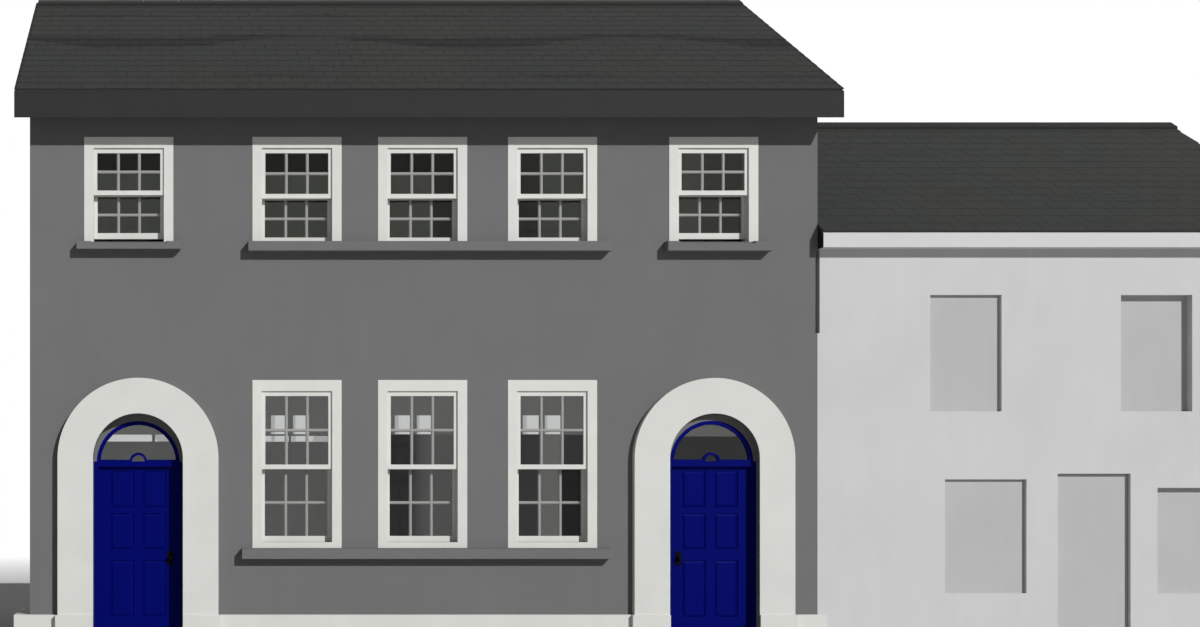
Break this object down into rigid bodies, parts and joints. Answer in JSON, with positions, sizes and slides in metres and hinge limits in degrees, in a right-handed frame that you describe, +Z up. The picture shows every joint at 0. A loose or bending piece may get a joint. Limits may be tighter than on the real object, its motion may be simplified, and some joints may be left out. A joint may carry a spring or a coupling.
{
  "type": "terraced house row",
  "caption": "Row of joined two-storey houses: a grey rendered front with arched doorways and sash windows under a slate gable roof, and a lower white house beside it.",
  "frame": {"origin": "bottom centre of the row: middle of its length and of its depth, at ground level", "axes": "+X along the front from the grey house to the white one, +Y from front to rear, +Z up"},
  "size_m": [14.9, 6.272, 8.28],
  "materials": {
    "grey_render": "fine render, painted mid grey",
    "white_render": "fine render, painted off-white",
    "stone_paint": "smooth painted stone",
    "timber_white": "white gloss paint on timber",
    "board_grey": "dark grey painted boards",
    "slate": "natural slate, dark grey-green",
    "roof_timber": "sawn softwood deck",
    "floor_boards": "floor boards",
    "ground_slab": "floated concrete",
    "door_blue": "deep blue gloss paint",
    "black_iron": "black painted iron",
    "window_glass": "dark window glass"
  },
  "bodies": {
    "house": {"grey_front_piers": "grey_render", "grey_front_middle": "grey_render", "grey_front_arches": "grey_render", "grey_front_upper": "grey_render", "grey_end_wall": "grey_render", "party_wall": "grey_render", "grey_rear_wall": "grey_render", "ground_floors": "ground_slab", "upper_floors": "floor_boards", "plinth": "stone_paint", "door_surrounds": "stone_paint", "door_frames": "door_blue", "fanlight_rims": "grey_render", "fanlight_glass": "window_glass", "thresholds": "stone_paint", "window_frames": "timber_white", "top_sashes": "timber_white", "bottom_sashes": "timber_white", "window_glass": "window_glass", "upper_sills": "grey_render", "lower_sill": "grey_render", "rear_window_frames": "timber_white", "rear_sashes": "timber_white", "rear_glass": "window_glass", "rear_sills": "grey_render", "grey_eaves": "board_grey", "grey_barge_boards": "board_grey", "grey_roof_front": "roof_timber", "grey_roof_rear": "roof_timber", "grey_slates": "slate", "ridge_tiles": "slate", "white_front_lower": "white_render", "white_front_upper": "white_render", "white_end_wall": "white_render", "white_rear_wall": "white_render", "white_eaves": "timber_white", "white_blank_panels": "white_render", "white_roof_front": "roof_timber", "white_roof_rear": "roof_timber", "white_slates": "slate"},
    "left_leaf": {"left_door": "door_blue", "left_door_handle": "black_iron"},
    "right_leaf": {"right_door": "door_blue", "right_door_handle": "black_iron"},
    "white_leaf": {"white_door": "white_render"}
  },
  "joints": [
    {"name": "left_door_hinge", "type": "hinge", "parent": "house", "child": "left_leaf", "pos_m": [-6.495, -2.557, 0.16], "axis": [0, 0, 1], "range_deg": [0, 90]},
    {"name": "right_door_hinge", "type": "hinge", "parent": "house", "child": "right_leaf", "pos_m": [0.939, -2.63, 0.16], "axis": [0, 0, -1], "range_deg": [0, 90]},
    {"name": "white_door_hinge", "type": "hinge", "parent": "house", "child": "white_leaf", "pos_m": [4.397, -2.652, 0.16], "axis": [0, 0, 1], "range_deg": [0, 90]}
  ]
}
